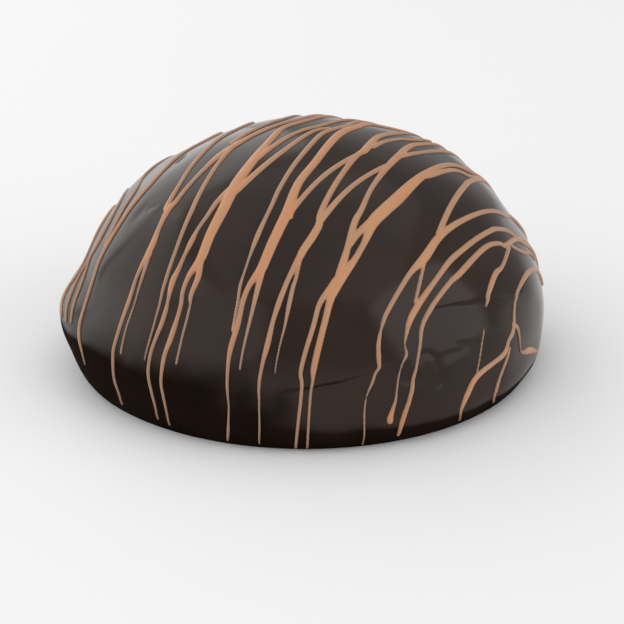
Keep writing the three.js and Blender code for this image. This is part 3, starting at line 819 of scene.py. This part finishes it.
@dataclass(frozen=True)
class FarSide:
    """How a strand that goes over the top runs down the far side."""

    step: float = 12.0
    turn_steps: int = 5
    reach: float = 124.0
    reach_swing: float = 26.0
    reach_beat: float = 2.3
    sway: float = 1.2
    sway_beat: float = 1.7
    width: float = 2.4
    swing: float = 0.25
    swing_beat: float = 1.1
    swing_shift: float = 2.0

    def run(self, first: Array, second: Array, order: int) -> Array:
        """Points of the far run, outermost first.

        The run leaves in the direction from the second point to the first,
        turns downhill within a few steps and sways from side to side with a
        sine, until it is as far from the apex as its reach. The reach and the
        width swing with sines too; each beat is a sine's angle for one step.

        Args:
            first: First point of the strand's route.
            second: Second point of the strand's route.
            order: Place of the strand in its list, which shifts the sines.

        Returns:
            Rows of u, v and width.
        """
        heading = (first - second)[:2]
        heading = heading / np.linalg.norm(heading)
        place = first[:2].copy()
        reach = self.reach + self.reach_swing * np.sin(self.reach_beat * order)
        rows: list[tuple[float, float, float]] = []
        while np.linalg.norm(place) < reach:
            count = len(rows) + 1
            downhill = place / np.linalg.norm(place)
            share = min(1.0, count / self.turn_steps)
            way = heading * (1.0 - share) + downhill * share
            way = way / np.linalg.norm(way)
            sway = self.sway * np.sin(self.sway_beat * count + order)
            place = place + np.array([-way[1], way[0]]) * sway + way * self.step
            angle = self.swing_beat * count + self.swing_shift * order
            swing = self.swing * np.sin(angle)
            rows.append((place[0], place[1], self.width * (1.0 + swing)))
        return np.array(rows[::-1]).reshape(-1, 3)


@dataclass
class Strand:
    """One strand of the drizzle as a smooth route on the map."""

    name: str
    far_side: FarSide = FarSide()
    spacing: float = 0.2

    def route(self) -> Array:
        """Route points, with the far run before them where there is one.

        Returns:
            Rows of u, v and width.
        """
        points = np.array(STRANDS[self.name], dtype=float)
        if self.name not in OVER_THE_TOP:
            return points
        order = OVER_THE_TOP.index(self.name)
        far_run = self.far_side.run(points[0], points[1], order)
        return np.concatenate((far_run, points))

    def samples(self) -> Array:
        """Closely spaced places of the route, by a uniform Catmull-Rom curve.

        Between two points P1 and P2 with neighbours P0 and P3 the place at t
        is half of 2 P1 + (P2 - P0) t + (2 P0 - 5 P1 + 4 P2 - P3) t squared +
        (3 P1 - P0 - 3 P2 + P3) t cubed. Past an end the neighbour is mirrored.

        Returns:
            Rows of u, v and width.
        """
        points = self.route()
        before = 2.0 * points[:1] - points[1:2]
        after = 2.0 * points[-1:] - points[-2:-1]
        points = np.concatenate((before, points, after))
        lengths = np.linalg.norm(np.diff(points[1:-1, :2], axis=0), axis=1)
        ends = np.concatenate(([0.0], np.cumsum(lengths)))
        way = np.linspace(0.0, ends[-1], int(ends[-1] / self.spacing) + 2)[:-1]
        index = np.searchsorted(ends, way, side="right") - 1
        index = np.clip(index, 0, len(lengths) - 1)
        t = ((way - ends[index]) / lengths[index])[:, None]
        p0, p1, p2, p3 = (points[index + shift] for shift in range(4))
        return 0.5 * (
            2.0 * p1
            + (p2 - p0) * t
            + (2.0 * p0 - 5.0 * p1 + 4.0 * p2 - p3) * t**2
            + (3.0 * p1 - p0 - 3.0 * p2 + p3) * t**3
        )


@dataclass
class Drizzle:
    """The whole drizzle as a height over the glaze on a square grid."""

    dome: DomeShape
    cell: float = 0.5
    lift_min: float = 0.42
    lift_per_width: float = 0.15
    width_scale: float = 1.06
    width_loss: float = 0.3
    flatness: float = 1.5
    blend: float = 0.07
    margin: float = 1.6
    spare_lines: int = 2
    crest_share: float = 2.0
    dip: float = 0.45
    edge: float = 0.1
    depth: float = 0.9
    foot_clearance: float = 0.9
    foot_steepness: float = 4.0
    cut: float = 32.0

    def fields(self) -> tuple[Array, Array, Array]:
        """Grid lines, height over the glaze and crest height near each place.

        A strand's cross-section is its lift times 1 minus the square of
        2 d / width to the power flatness, where d is the distance from its
        middle and the width is scaled and less its loss at the edges. It goes
        on below the glaze outside it. Strands melt into each other by the
        blend times the logarithm of the sum of exp(height / blend).

        Returns:
            The grid's lines, the height field and the crest field, in mm.
        """
        half = np.ceil(self.dome.total / self.cell) + self.spare_lines
        lines = np.arange(-half, half + 1) * self.cell
        count = len(lines)
        total = np.zeros(count * count)
        crest = np.zeros(count * count)
        for name in STRANDS:
            samples = Strand(name).samples()
            height, near = self._stamp(samples, lines, crest)
            total[near] += np.exp(height / self.blend)
        with np.errstate(divide="ignore"):
            field = self.blend * np.log(total)
        field = field.reshape(count, count)
        u, v = np.meshgrid(lines, lines, indexing="ij")
        over = np.hypot(u, v) - (self.dome.total - self.foot_clearance)
        field = field - self.foot_steepness * np.maximum(over, 0.0)
        return lines, field, crest.reshape(count, count)

    def _stamp(
        self, samples: Array, lines: Array, crest: Array
    ) -> tuple[Array, Array]:
        """Height of one strand on the grid places close to it.

        Args:
            samples: Rows of u, v and width along the strand.
            lines: The grid's lines.
            crest: The crest field, which is raised where the strand runs.

        Returns:
            The heights and the numbers of the grid places they belong to.
        """
        count = len(lines)
        half_width = (samples[:, 2] * self.width_scale - self.width_loss) / 2.0
        lift = self.lift_min + self.lift_per_width * samples[:, 2]
        reach = int(np.ceil((half_width.max() + self.margin) / self.cell))
        side = np.arange(-reach, reach + 1)
        du, dv = (part.ravel() for part in np.meshgrid(side, side, indexing="ij"))
        base_u = np.rint((samples[:, 0] - lines[0]) / self.cell).astype(int)
        base_v = np.rint((samples[:, 1] - lines[0]) / self.cell).astype(int)
        iu = np.clip(base_u[:, None] + du, 0, count - 1)
        iv = np.clip(base_v[:, None] + dv, 0, count - 1)
        far = (lines[iu] - samples[:, :1]) ** 2 + (lines[iv] - samples[:, 1:2]) ** 2
        share = (far / half_width[:, None] ** 2) ** self.flatness
        place = iu * count + iv
        best = np.full(count * count, -np.inf)
        np.maximum.at(best, place.ravel(), (lift[:, None] * (1.0 - share)).ravel())
        inside = share < self.crest_share
        tall = np.broadcast_to(lift[:, None], share.shape)
        np.maximum.at(crest, place[inside], tall[inside])
        near = np.flatnonzero(np.isfinite(best))
        return best[near], near

    def surfaces(self) -> list[MeshPiece]:
        """The drizzle's two closed pieces, in front of and behind the cut.

        Returns:
            The pieces.
        """
        lines, field, crest = self.fields()
        u, v = np.meshgrid(lines, lines, indexing="ij")
        inside = np.hypot(u, v) < self.dome.total
        corner_max = np.maximum.reduce(
            [field[:-1, :-1], field[1:, :-1], field[1:, 1:], field[:-1, 1:]]
        )
        whole = inside[:-1, :-1] & inside[1:, :-1] & inside[1:, 1:] & inside[:-1, 1:]
        kept = self._filled((corner_max > -self.edge) & whole, whole)
        middle = (lines[:-1] + lines[1:]) / 2.0
        front = kept & (middle[None, :] < self.cut)
        pieces = []
        for name, part in (("drizzle_front", front), ("drizzle_back", kept & ~front)):
            pieces.append(self._closed(name, part, lines, field, crest))
        return pieces

    @staticmethod
    def _filled(kept: Array, allowed: Array) -> Array:
        """Fill in cells until none touches another at a corner alone.

        Args:
            kept: Cells of the drizzle.
            allowed: Cells that may be used.

        Returns:
            The cells with every pinched corner filled.
        """
        while True:
            a, b = kept[:-1, :-1], kept[1:, :-1]
            c, d = kept[:-1, 1:], kept[1:, 1:]
            pinch = (a & d & ~b & ~c) | (b & c & ~a & ~d)
            if not pinch.any():
                return kept
            grown = kept.copy()
            grown[:-1, :-1] |= pinch
            grown[1:, :-1] |= pinch
            grown[:-1, 1:] |= pinch
            grown[1:, 1:] |= pinch
            kept = grown & allowed

    def _closed(
        self, name: str, kept: Array, lines: Array, field: Array, crest: Array
    ) -> MeshPiece:
        """Top, underside and border walls over the kept cells.

        Args:
            name: Name of the piece.
            kept: Its cells.
            lines: The grid's lines.
            field: Height over the glaze.
            crest: Crest height near each place.

        Returns:
            The closed piece.
        """
        count = len(lines)
        i, j = np.nonzero(kept)
        a = i * count + j
        b, c, d = a + count, a + count + 1, a + 1
        top = np.stack([a, b, c, d], axis=1)
        used, local = np.unique(top, return_inverse=True)
        local = local.reshape(top.shape)
        size = len(used)
        padded = np.pad(kept, 1)
        walls = []
        open_sides = (
            ~padded[i + 1, j], ~padded[i + 2, j + 1],
            ~padded[i + 1, j + 2], ~padded[i, j + 1],
        )
        for side, bare in enumerate(open_sides):
            start = local[bare, side]
            end = local[bare, (side + 1) % len(open_sides)]
            walls.append(np.stack([end, start, start + size, end + size], axis=1))
        under = local[:, ::-1] + size
        faces = np.concatenate([local, under] + walls)
        u, v = lines[used // count], lines[used % count]
        height = np.maximum(field.ravel()[used], -self.dip)
        upper = self.dome.skin(u, v, height)
        lower = self.dome.skin(u, v, np.full(size, -self.depth))
        places = np.concatenate((upper, lower))
        places[:, 2] = np.maximum(places[:, 2], 0.0)
        smooth = np.zeros(len(faces), dtype=bool)
        smooth[: len(local)] = True
        values = {"crest": crest.ravel()[used], "rise": field.ravel()[used]}
        doubled = {key: np.tile(value, 2) for key, value in values.items()}
        return MeshPiece(name, places, faces, smooth, doubled)


class Graph:
    """A short way to place, feed and join the nodes of one tree."""

    def __init__(self, tree: bpy.types.NodeTree) -> None:
        """Keep the tree."""
        self.tree = tree

    def node(self, kind: str, **settings: object) -> bpy.types.Node:
        """Place a node and set its own properties.

        Args:
            kind: Type name of the node.
            settings: Properties of the node.

        Returns:
            The node.
        """
        made = self.tree.nodes.new(kind)
        for name, value in settings.items():
            setattr(made, name, value)
        return made

    def feed(self, target: Socket, value: Feed) -> None:
        """Join an input to a socket, or set it to a constant.

        Args:
            target: The input.
            value: The socket or the constant.
        """
        if isinstance(value, Socket):
            self.tree.links.new(value, target)
        else:
            target.default_value = value

    def dress(self, node: bpy.types.Node, values: dict[str, Feed]) -> None:
        """Feed a node's inputs by their names.

        Args:
            node: The node.
            values: What each named input gets.
        """
        for name, value in values.items():
            self.feed(node.inputs[name], value)

    def maths(self, operation: str, *values: Feed) -> Socket:
        """A sum or other operation on values.

        Args:
            operation: Name of the operation.
            values: What it works on, in order.

        Returns:
            Its result.
        """
        node = self.node("ShaderNodeMath", operation=operation)
        for socket, value in zip(node.inputs, values):
            self.feed(socket, value)
        return node.outputs[0]

    def mixed(self, share: Feed, low: Feed, high: Feed, blend: str = "MIX") -> Socket:
        """A mix of two colours.

        Args:
            share: Share of the second colour.
            low: The first colour.
            high: The second colour.
            blend: How the second goes over the first.

        Returns:
            The mixed colour.
        """
        node = self.node("ShaderNodeMix", data_type="RGBA", blend_type=blend)
        self.dress(node, {"Factor": share, "A": low, "B": high})
        return node.outputs["Result"]

    def ranged(
        self,
        value: Feed,
        source: tuple[Feed, Feed],
        target: tuple[float, float],
        kind: str = "LINEAR",
    ) -> Socket:
        """A value moved from one range to another, kept within it.

        Args:
            value: The value.
            source: Both ends of its range.
            target: Both ends of the new range.
            kind: How it goes between them.

        Returns:
            The value in the new range.
        """
        node = self.node("ShaderNodeMapRange", interpolation_type=kind)
        self.dress(node, {
            "Value": value, "From Min": source[0], "From Max": source[1],
            "To Min": target[0], "To Max": target[1],
        })
        return node.outputs["Result"]

    def noise(self, scale: Feed, detail: Feed) -> Socket:
        """Noise on the piece's own coordinates.

        Args:
            scale: How many waves go in a metre.
            detail: How many finer waves lie on them.

        Returns:
            Its value, from 0 to 1.
        """
        coords = self.node("ShaderNodeTexCoord").outputs["Object"]
        node = self.node("ShaderNodeTexNoise", noise_dimensions="3D")
        self.dress(node, {"Vector": coords, "Scale": scale, "Detail": detail})
        return node.outputs["Fac"]

    def bumped(self, height: Feed, depth: float) -> Socket:
        """The normal over a low relief.

        Args:
            height: Height from 0 to 1.
            depth: Depth of the relief in metres.

        Returns:
            The normal.
        """
        node = self.node("ShaderNodeBump")
        self.dress(node, {"Height": height, "Distance": depth})
        return node.outputs["Normal"]


class EffectKit:
    """Node groups that more than one finish uses, each built once."""

    def __init__(self) -> None:
        """Build the groups."""
        self.mottle = self._mottle()
        self.skin = self._skin()

    @staticmethod
    def _group(
        name: str, values: dict[str, float], result: str
    ) -> tuple[Graph, bpy.types.Node, Socket]:
        """Start a group.

        Args:
            name: Name of the group.
            values: Its inputs and their usual values.
            result: Name of its output.

        Returns:
            Its graph, the node that gives the inputs and the output to feed.
        """
        tree = bpy.data.node_groups.new(name, "ShaderNodeTree")
        kind = "NodeSocketFloat"
        for label, value in values.items():
            socket = tree.interface.new_socket(label, in_out="INPUT", socket_type=kind)
            socket.default_value = value
        tree.interface.new_socket(result, in_out="OUTPUT", socket_type=kind)
        graph = Graph(tree)
        inputs = graph.node("NodeGroupInput")
        return graph, inputs, graph.node("NodeGroupOutput").inputs[result]

    def _mottle(self) -> bpy.types.NodeTree:
        """Cloudy patches: noise on the piece's coordinates, eased in a range.

        Returns:
            The group, which puts out a mask from 0 to 1.
        """
        values = {"Scale": 40.0, "Detail": 2.0, "From": 0.35, "To": 0.65}
        graph, inputs, mask = self._group("mottle", values, "Mask")
        scale, detail, start, end = (inputs.outputs[name] for name in values)
        noise = graph.noise(scale, detail)
        graph.feed(mask, graph.ranged(noise, (start, end), UNIT, "SMOOTHSTEP"))
        return graph.tree

    def _skin(self) -> bpy.types.NodeTree:
        """Height of a set icing's skin: a slow wave with fine grain on it.

        The height is the coarse noise times its share plus the fine noise
        times its own.

        Returns:
            The group, which puts out a height from 0 to about 1.
        """
        values = {
            "Coarse Scale": 120.0, "Coarse Share": 0.7,
            "Fine Scale": 900.0, "Fine Share": 0.3,
        }
        graph, inputs, height = self._group("icing_skin", values, "Height")
        parts = []
        for grade, detail in (("Coarse", 1.0), ("Fine", 2.0)):
            noise = graph.noise(inputs.outputs[grade + " Scale"], detail)
            share = inputs.outputs[grade + " Share"]
            parts.append(graph.maths("MULTIPLY", noise, share))
        graph.feed(height, graph.maths("ADD", *parts))
        return graph.tree

    @staticmethod
    def place(graph: Graph, group: bpy.types.NodeTree, **values: float) -> Socket:
        """Place a group in a material with its own values.

        Args:
            graph: The material's graph.
            values: Input values, with a low line for the space in a name.

        Returns:
            What the group puts out.
        """
        node = graph.node("ShaderNodeGroup", node_tree=group)
        for name, value in values.items():
            node.inputs[name.replace("_", " ")].default_value = value
        return node.outputs[0]


def blank_material(name: str) -> tuple[bpy.types.Material, Graph, bpy.types.Node]:
    """A material with its Principled shader and nothing joined to it.

    Args:
        name: Name of the material.

    Returns:
        The material, its graph and the shader node.
    """
    material = bpy.data.materials.new(name)
    material.use_nodes = True
    material.node_tree.nodes.clear()
    graph = Graph(material.node_tree)
    shader = graph.node("ShaderNodeBsdfPrincipled")
    output = graph.node("ShaderNodeOutputMaterial")
    graph.feed(output.inputs["Surface"], shader.outputs["BSDF"])
    return material, graph, shader


@dataclass(frozen=True)
class GlazeFinish:
    """Dark chocolate glaze, set to a soft shine; duller where it tucks in, with painted
    shade darkening its colour there.
    """

    deep: Colour = (0.0185, 0.0100, 0.0066, 1.0)
    warm: Colour = (0.0270, 0.0150, 0.0102, 1.0)
    cloud_scale: float = 34.0
    smear_scale: float = 75.0
    smear_detail: float = 3.0
    sleek: float = 0.17
    dull: float = 0.27
    # painted shade: share of the glaze colour kept where it turns under
    painted_tuck_shade: float = 0.5
    under_gloss: float = 0.0
    coat_roughness: float = 0.17
    coat_ior: float = 1.3
    tuck: tuple[float, float] = (0.03, 0.3)
    tuck_waves: float = 0.14
    tuck_coat: float = 0.03
    # side where the painted shade and the thinner coat start lower
    tuck_spare: Triple = (0.338, -0.123, 0.0)
    skin_scale: float = 150.0
    grain_share: float = 0.05
    bump_depth: float = 0.00012

    def material(self, kit: EffectKit) -> bpy.types.Material:
        """Build the material.

        Base Color goes from deep to warm over cloudy patches, Roughness from
        sleek to dull over smears. The coat thins out where the surface turns
        under, and painted shade darkens the colour there: both start lower on
        the side that tuck_spare points to, which is kept lighter down to the foot.

        Args:
            kit: The shared effects.

        Returns:
            The material.
        """
        material, graph, shader = blank_material("chocolate_glaze")
        clouds = kit.place(graph, kit.mottle, Scale=self.cloud_scale)
        smears = kit.place(
            graph, kit.mottle, Scale=self.smear_scale, Detail=self.smear_detail
        )
        skin = kit.place(
            graph, kit.skin, Coarse_Scale=self.skin_scale, Fine_Share=self.grain_share
        )
        facing = self._facing(graph, clouds)
        colour = graph.mixed(clouds, self.deep, self.warm)
        # painted shade: the colour is multiplied down where the glaze turns under
        painted_tuck_shade = graph.ranged(facing, self.tuck, (self.painted_tuck_shade, 1.0), "SMOOTHSTEP")
        coat = graph.ranged(facing, self.tuck, (self.tuck_coat, 1.0), "SMOOTHSTEP")
        graph.dress(shader, {
            "Base Color": graph.mixed(1.0, colour, painted_tuck_shade, "MULTIPLY"),
            "Roughness": graph.ranged(smears, UNIT, (self.sleek, self.dull)),
            "Specular IOR Level": self.under_gloss,
            "Coat Weight": coat,
            "Coat Roughness": self.coat_roughness,
            "Coat IOR": self.coat_ior,
            "Normal": graph.bumped(skin, self.bump_depth),
        })
        return material

    def _facing(self, graph: Graph, clouds: Socket) -> Socket:
        """How far the surface faces up, and a little more on the spared side; it places
        the painted shade and the thinner coat.

        It is the normal's upward part, plus its part along tuck_spare where
        there is one, plus the patches' mask times tuck_waves.

        Args:
            graph: The material's graph.
            clouds: The mask of cloudy patches, which makes the edge uneven.

        Returns:
            The value.
        """
        normal = graph.node("ShaderNodeNewGeometry").outputs["Normal"]
        parts = graph.node("ShaderNodeSeparateXYZ")
        graph.dress(parts, {"Vector": normal})
        aside = graph.node("ShaderNodeVectorMath", operation="DOT_PRODUCT")
        graph.feed(aside.inputs[0], normal)
        graph.feed(aside.inputs[1], self.tuck_spare)
        spared = graph.maths("MAXIMUM", aside.outputs["Value"], 0.0)
        total = graph.maths("ADD", parts.outputs["Z"], spared)
        return graph.maths("MULTIPLY_ADD", clouds, self.tuck_waves, total)


@dataclass(frozen=True)
class DrizzleFinish:
    """Caramel icing: thicker strands paler and fuller in colour."""

    film: Colour = (0.15, 0.090, 0.058, 1.0)
    thin: Colour = (0.31, 0.192, 0.130, 1.0)
    caramel: Colour = (0.50, 0.245, 0.112, 1.0)
    rosy: Colour = (0.52, 0.228, 0.104, 1.0)
    patch_scale: float = 55.0
    cover: tuple[float, float] = (0.0, 0.3)
    crest: tuple[float, float] = (0.50, 1.04)
    grain_scale: float = 210.0
    grain_detail: float = 3.0
    roughness: tuple[float, float] = (0.36, 0.5)
    skin_scale: float = 260.0
    fine_scale: float = 1500.0
    bump_depth: float = 0.0002

    def material(self, kit: EffectKit) -> bpy.types.Material:
        """Build the material.

        The colour goes from thin to full with the strand's crest height, and
        the full colour from caramel to rosy over patches. Where the icing
        rises little over the glaze, at its edges, it turns to a dark film.

        Args:
            kit: The shared effects.

        Returns:
            The material.
        """
        material, graph, shader = blank_material("caramel_drizzle")
        patches = kit.place(graph, kit.mottle, Scale=self.patch_scale)
        grain = kit.place(
            graph, kit.mottle, Scale=self.grain_scale, Detail=self.grain_detail
        )
        skin = kit.place(
            graph, kit.skin, Coarse_Scale=self.skin_scale, Fine_Scale=self.fine_scale
        )
        full = graph.mixed(patches, self.caramel, self.rosy)
        colour = graph.mixed(self._share(graph, "crest", self.crest), self.thin, full)
        edged = graph.mixed(self._share(graph, "rise", self.cover), self.film, colour)
        graph.dress(shader, {
            "Base Color": edged,
            "Roughness": graph.ranged(grain, UNIT, self.roughness),
            "Normal": graph.bumped(skin, self.bump_depth),
        })
        return material

    @staticmethod
    def _share(graph: Graph, name: str, ends: tuple[float, float]) -> Socket:
        """How far an attribute of the mesh is between two ends, eased.

        Args:
            graph: The material's graph.
            name: Name of the attribute.
            ends: Where the share is 0 and where it is 1.

        Returns:
            The share.
        """
        value = graph.node("ShaderNodeAttribute", attribute_name=name).outputs["Fac"]
        return graph.ranged(value, ends, UNIT, "SMOOTHSTEP")


@dataclass(frozen=True)
class FloorFinish:
    """Plain pale floor."""

    colour: Colour = (0.88, 0.88, 0.88, 1.0)
    roughness: float = 0.7
    gloss: float = 0.1

    def material(self) -> bpy.types.Material:
        """Build the material.

        Returns:
            The material: one pale colour, almost no gloss.
        """
        material, graph, shader = blank_material("pale_floor")
        graph.dress(shader, {
            "Base Color": self.colour,
            "Roughness": self.roughness,
            "Specular IOR Level": self.gloss,
        })
        return material


@dataclass(frozen=True)
class Softbox:
    """A soft rectangular lamp that faces the cake."""

    name: str
    azimuth: float
    breadth: float
    power: float
    elevation: float = 20.0
    height: float = 1.75
    distance: float = 2.0

    def build(self, target: Vector) -> None:
        """Hang the lamp at its azimuth and elevation, aimed at the target.

        Azimuth 0 is towards the camera's side and 90 to the right.

        Args:
            target: The place it faces, in metres.
        """
        lamp = bpy.data.lights.new(self.name, "AREA")
        lamp.shape = "RECTANGLE"
        lamp.size, lamp.size_y = self.breadth, self.height
        lamp.energy = self.power
        turn, rise = math.radians(self.azimuth), math.radians(self.elevation)
        level = math.cos(rise)
        way = Vector((math.sin(turn) * level, -math.cos(turn) * level, math.sin(rise)))
        holder = bpy.data.objects.new(self.name, lamp)
        holder.location = target + way * self.distance
        holder.rotation_euler = way.to_track_quat("Z", "Y").to_euler()
        bpy.context.scene.collection.objects.link(holder)


@dataclass
class Studio:
    """Floor, light and camera."""

    floor_half: float = 6.0
    sky: float = 0.53
    target: Triple = (0.0, 0.0, 0.045)
    elevation: float = 22.67
    roll: float = 1.45
    lens: float = 117.88
    eye: Triple = (0.00010, -0.74381, 0.32809)
    near: float = 0.01
    lamps: tuple[Softbox, ...] = (
        Softbox("back_left_softbox", azimuth=-152, breadth=1.7, power=10.2),
        Softbox("left_softbox", azimuth=-100, breadth=1.7, power=8.9),
        Softbox("front_left_softbox", azimuth=-48, breadth=1.7, power=6.9),
        Softbox("front_right_softbox", azimuth=63, breadth=1.9, power=14.5),
        Softbox("top_softbox", azimuth=0, breadth=3.3, power=17.0, elevation=88,
                height=3.3),
    )

    def build(self) -> None:
        """Set up the floor, the sky, the lamps and the camera."""
        self._floor()
        self._sky()
        for lamp in self.lamps:
            lamp.build(Vector(self.target))
        self._camera()

    def _floor(self) -> None:
        """A flat square under the cake."""
        half = self.floor_half
        mesh = bpy.data.meshes.new("floor")
        signs = ((-1, -1), (1, -1), (1, 1), (-1, 1))
        corners = [(half * x, half * y, 0.0) for x, y in signs]
        mesh.from_pydata(corners, [], [(0, 1, 2, 3)])
        mesh.materials.append(FloorFinish().material())
        floor = bpy.data.objects.new("floor", mesh)
        bpy.context.scene.collection.objects.link(floor)

    def _sky(self) -> None:
        """An even white world."""
        world = bpy.data.worlds.new("studio")
        world.use_nodes = True
        background = world.node_tree.nodes["Background"]
        background.inputs["Color"].default_value = WHITE
        background.inputs["Strength"].default_value = self.sky
        bpy.context.scene.world = world
        bpy.context.scene.view_settings.view_transform = "Standard"

    def _camera(self) -> None:
        """A camera at the photograph's angle.

        Its right is the level right turned by the roll towards minus up, and
        its up is what is square to that right and to the way it looks.
        """
        rise, roll = math.radians(self.elevation), math.radians(self.roll)
        level = Vector((1.0, 0.0, 0.0))
        over = Vector((0.0, math.sin(rise), math.cos(rise)))
        right = level * math.cos(roll) - over * math.sin(roll)
        up = level * math.sin(roll) + over * math.cos(roll)
        back = right.cross(up)
        data = bpy.data.cameras.new("camera")
        data.lens = self.lens
        data.clip_start = self.near
        camera = bpy.data.objects.new("camera", data)
        turn = Matrix((right, up, back)).transposed().to_4x4()
        camera.matrix_world = Matrix.Translation(Vector(self.eye)) @ turn
        bpy.context.scene.collection.objects.link(camera)
        bpy.context.scene.camera = camera


def main() -> None:
    """Load the frame, build the glazed cake and its drizzle, set the studio."""
    logging.basicConfig(level=logging.INFO, format="%(message)s")
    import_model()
    Studio().build()
    kit = EffectKit()
    dome = DomeShape()
    GlazeCoat(dome).surface().build(Slot.GLAZE, GlazeFinish().material(kit))
    icing = DrizzleFinish().material(kit)
    for piece in Drizzle(dome).surfaces():
        piece.build(Slot.DRIZZLE, icing)


if __name__ == "__main__":
    main()
